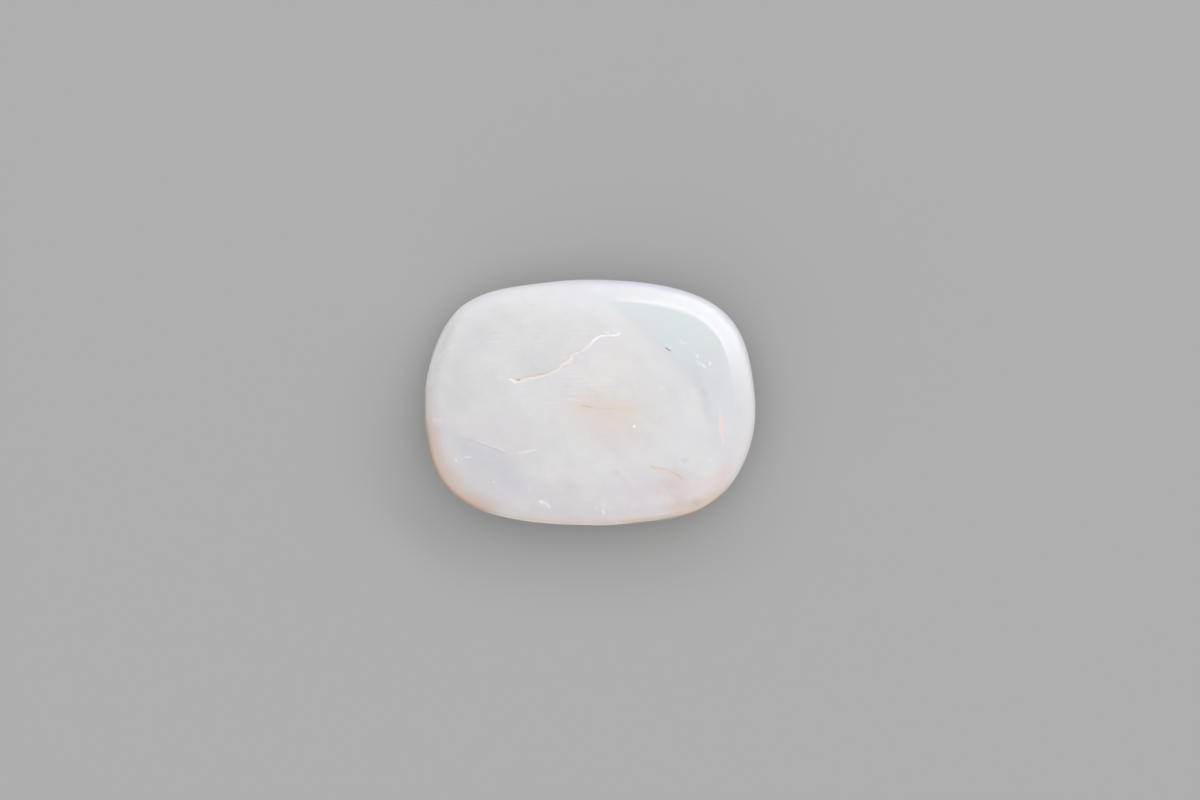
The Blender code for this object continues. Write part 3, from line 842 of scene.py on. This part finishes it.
def polished_opal():
    """Common opal, ground by hand and polished: milk-white and a little translucent, so it looks soft
    and deep, with cloudy zones, iron-stained cracks and a trace of fire, and some highlights, shade and warm
    light painted into its colour. Its back is left matt."""
    material = bpy.data.materials.new("polished_opal")
    material.use_nodes = True
    tree = material.node_tree
    surface = tree.nodes["Principled BSDF"]
    object_place = add(tree, "TexCoord", {}).node.outputs["Object"]
    place = add(tree, "VectorMath", {0: object_place, "Scale": 1 / MM}, operation="SCALE")
    height = add(tree, "SeparateXYZ", {"Vector": place}).node.outputs["Z"]
    inset = add(tree, "Attribute", {}, attribute_name="inset").node.outputs["Fac"]
    on_face = fade(tree, height, GIRDLE_HEIGHT + FACE_START[0], GIRDLE_HEIGHT + FACE_START[1])
    on_back = fade(tree, height, *BACK_END)

    # Clouds about 4 mm wide in the milk, and curds under 1 mm in them.
    clouds = add(tree, "TexNoise", {"Vector": place, "Scale": CLOUDS_PER_MM, "Detail": 4.0})
    curds = {"Vector": place, "Scale": CURDS_PER_MM, "Detail": 3.0, "Distortion": 0.6}
    curds = add(tree, "TexNoise", curds)
    colour = tint(tree, srgb("#dbdadb"), fade(tree, clouds, 0.46, 0.30, 0.3), "#cfcfd2")
    colour = tint(tree, colour, fade(tree, clouds, 0.54, 0.70, 0.3), "#e4e2e2")
    colour = lay_zones(tree, colour, place, MILK_ZONES_AND_TOP_HIGHLIGHT, ZONE_DRIFT, RIGHT_THROUGH)
    colour = tint(tree, colour, fade(tree, curds, 0.5, 0.75, 0.14), "#e8e6e8")
    colour = tint(tree, colour, fade(tree, curds, 0.46, 0.28, 0.14), "#c6c3c8")

    # Faint folds of the silica layers, about 1 mm apart, that run down to the right.
    folds = {"Vector": place, "Rotation": (0, 0, FOLD_LEAN), "Scale": FOLD_SIZE}
    folds = add(tree, "Mapping", folds, vector_type="TEXTURE")
    folds = add(tree, "TexNoise", {"Vector": folds, "Scale": 1.0, "Detail": 2.0})
    colour = tint(tree, colour, fade(tree, folds, 0.52, 0.66, 0.08), "#e6e4e6")
    colour = tint(tree, colour, fade(tree, folds, 0.48, 0.34, 0.08), "#cbc8cc")

    # Polishing lines an eighth of a millimetre apart, along X over the upper left of the face, with a
    # painted sheen on their light streaks and painted shade on their dark ones. The real ones are finer
    # still.
    lines = add(tree, "Mapping", {"Vector": place, "Scale": (LINE_BREAKS_PER_MM, LINES_PER_MM, 1.0)})
    lines = add(tree, "TexNoise", {"Vector": lines, "Scale": 1.0, "Detail": 1.0})
    field = {"Vector": place, "Location": LINES_MIDDLE, "Scale": LINES_REACH}
    field = add(tree, "Mapping", field, vector_type="TEXTURE")
    field = add(tree, "VectorMath", {0: field}, operation="LENGTH").node.outputs["Value"]
    field = times(tree, fade(tree, field, 1.0, 0.5), fade(tree, clouds, 0.35, 0.55), on_face)
    lit_lines = times(tree, fade(tree, lines, 0.58, 0.74), field)
    colour = tint(tree, colour, times(tree, lit_lines, 0.4), "#ecebeb")
    colour = tint(tree, colour, times(tree, fade(tree, lines, 0.40, 0.26), field, 0.2), "#c9c6c4")

    colour = crack_colour(tree, colour, place, inset, on_face)
    colour = rim_colour(tree, colour, place, inset)
    colour = lay_zones(tree, colour, place, MARKS, MARK_DRIFT, MARK_DEPTH)
    colour, broken = chip_colour(tree, colour, place, on_face)
    tree.links.new(colour, surface.inputs["Base Color"])

    # The polish: bright on the face, duller in chips, and a ground matt surface on the back.
    polish = {0: curds, 1: LESS_POLISHED, 2: POLISHED}
    polish = add(tree, "Math", polish, operation="MULTIPLY_ADD")
    polish = add(tree, "Mix", {"Factor": broken, "A": polish, "B": CHIPPED})
    polish = add(tree, "Mix", {"Factor": on_back, "A": polish, "B": GROUND_MATT})
    tree.links.new(polish, surface.inputs["Roughness"])

    # Relief too fine for the mesh: hand-ground waves 2 mm long, polishing lines and back scratches.
    waves = add(tree, "TexNoise", {"Vector": place, "Scale": WAVES_PER_MM, "Detail": 1.0})
    relief = add(tree, "Math", {0: waves, 1: WAVE_HEIGHT}, operation="MULTIPLY")
    relief = add(tree, "Math", {0: lit_lines, 1: LINE_HEIGHT, 2: relief}, operation="MULTIPLY_ADD")
    scratches = {"Vector": place, "Rotation": (0, 0, SCRATCH_LEAN), "Scale": SCRATCH_SIZE}
    scratches = add(tree, "Mapping", scratches, vector_type="TEXTURE")
    scratches = add(tree, "TexNoise", {"Vector": scratches, "Scale": 1.0, "Detail": 3.0})
    scratches = times(tree, scratches, on_back)
    relief = {0: scratches, 1: SCRATCH_HEIGHT, 2: relief}
    relief = add(tree, "Math", relief, operation="MULTIPLY_ADD")
    bump = add(tree, "Bump", {"Height": relief, "Strength": 1.0, "Distance": MM})
    tree.links.new(bump, surface.inputs["Normal"])

    surface.inputs["IOR"].default_value = 1.45
    surface.inputs["Subsurface Weight"].default_value = 1.0
    surface.inputs["Subsurface Radius"].default_value = (1.0, 0.85, 0.7)
    surface.inputs["Subsurface Scale"].default_value = GLOW_DEPTH * MM
    return material


stone.data.materials.append(polished_opal())
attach(stone, "root")
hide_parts("opal")

# The floor: a plain table top, painted pale grey with a roller and without gloss, so it takes soft shadows
# and mirrors nothing. It is wide enough to reach past every view.

FLOOR_HALF = 6.0  # metres

floor_data = bpy.data.meshes.new("floor")
floor_data.from_pydata(
    [(x * FLOOR_HALF, y * FLOOR_HALF, 0) for x, y in ((-1, -1), (1, -1), (1, 1), (-1, 1))],
    [],
    [(0, 1, 2, 3)],
)
floor = bpy.data.objects.new("floor", floor_data)
bpy.context.scene.collection.objects.link(floor)
matt_paint = bpy.data.materials.new("matt_grey_paint")
matt_paint.use_nodes = True
paint_film = matt_paint.node_tree.nodes["Principled BSDF"]
paint_film.inputs["Base Color"].default_value = srgb("#aaaaaa")
paint_film.inputs["Roughness"].default_value = 1.0
paint_film.inputs["Specular IOR Level"].default_value = 0.0
floor_data.materials.append(matt_paint)

# The light: a long low softbox at the upper right, whose reflection whitens the crisp bevel, a dimmer one
# beyond the top edge, and an even fill from overhead and from the lower left.

SOFTBOX_AWAY = 2.5  # metres

SOFTBOXES = {  # where it stands, in degrees round from +X and up; width and height in metres; how bright
    "key_softbox": (46, 36, 3.6, 0.6, 3.0),
    "top_softbox": (120, 34, 2.6, 0.8, 1.1),
    "overhead_softbox": (0, 90, 4.0, 4.0, 0.78),
    "fill_softbox": (235, 28, 5.0, 2.0, 0.62),
}


def softbox(name, facing, up, width, height, glow):
    """A softbox that stands in this direction, this high above the horizon, and shines at the stone."""
    facing, up = math.radians(facing), math.radians(up)
    data = bpy.data.lights.new(name, "AREA")
    data.shape = "RECTANGLE"
    data.size = width
    data.size_y = height
    data.energy = glow * math.pi * width * height
    made = bpy.data.objects.new(name, data)
    level = SOFTBOX_AWAY * math.cos(up)
    made.location = (level * math.cos(facing), level * math.sin(facing), SOFTBOX_AWAY * math.sin(up))
    made.rotation_euler = (math.pi / 2 - up, 0, facing + math.pi / 2)
    made.visible_camera = False
    bpy.context.scene.collection.objects.link(made)


for name, settings in SOFTBOXES.items():
    softbox(name, *settings)

world = bpy.data.worlds.new("studio")
world.use_nodes = True
world.node_tree.nodes["Background"].inputs["Color"].default_value = srgb("#aeaeae")
bpy.context.scene.world = world
bpy.context.scene.view_settings.view_transform = "Standard"

# The camera: straight above the stone, the top of its frame towards +Y, with a long lens, so that the
# stone shows hardly any perspective.

SIGHT_WIDTH = 72.53  # millimetres across the frame, at the height of the girdle
SIGHT_MIDDLE = (0.61, 0.15)  # what the camera is above, in millimetres from the middle of the stone
LENS = 100.0
SENSOR = 36.0
NEAREST = 0.01  # metres

camera_data = bpy.data.cameras.new("camera")
camera_data.lens = LENS
camera_data.sensor_width = SENSOR
camera_data.clip_start = NEAREST
camera = bpy.data.objects.new("camera", camera_data)
camera.location = (
    SIGHT_MIDDLE[0] * MM,
    SIGHT_MIDDLE[1] * MM,
    (GIRDLE_HEIGHT + SIGHT_WIDTH * LENS / SENSOR) * MM,
)
bpy.context.scene.collection.objects.link(camera)
bpy.context.scene.camera = camera
